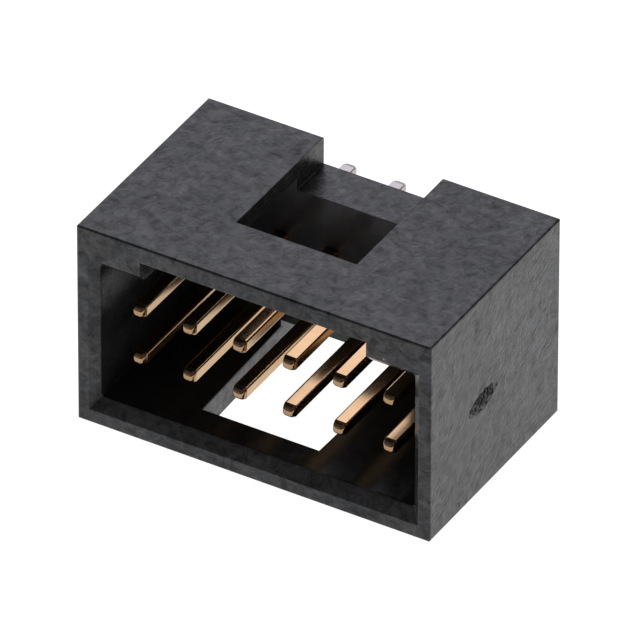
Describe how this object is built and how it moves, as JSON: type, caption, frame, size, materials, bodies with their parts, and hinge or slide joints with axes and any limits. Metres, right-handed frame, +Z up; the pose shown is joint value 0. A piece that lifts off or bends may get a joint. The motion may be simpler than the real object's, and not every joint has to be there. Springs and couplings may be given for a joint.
{
  "type": "box header",
  "caption": "Shrouded pin header with two rows of square contacts in a moulded box, open at the mouth, with a key recess and notched walls, for a flat-cable socket.",
  "frame": {"origin": "middle of the floor under the whole header, tails included", "axes": "+X along the rows of contacts, -Y out of the mouth, +Y along the tails, +Z up from the lower long wall to the wall with the key recess"},
  "size_m": [0.0142, 0.0118, 0.0082],
  "materials": {
    "housing": "matte glass-filled plastic, dark grey",
    "contact": "gold flash at the mating end, tin on the tail"
  },
  "bodies": {
    "root": {"housing": "housing", "contact_01": "contact", "contact_02": "contact", "contact_03": "contact", "contact_04": "contact", "contact_05": "contact", "contact_06": "contact", "contact_07": "contact", "contact_08": "contact", "contact_09": "contact", "contact_10": "contact", "contact_11": "contact", "contact_12": "contact"}
  },
  "joints": []
}
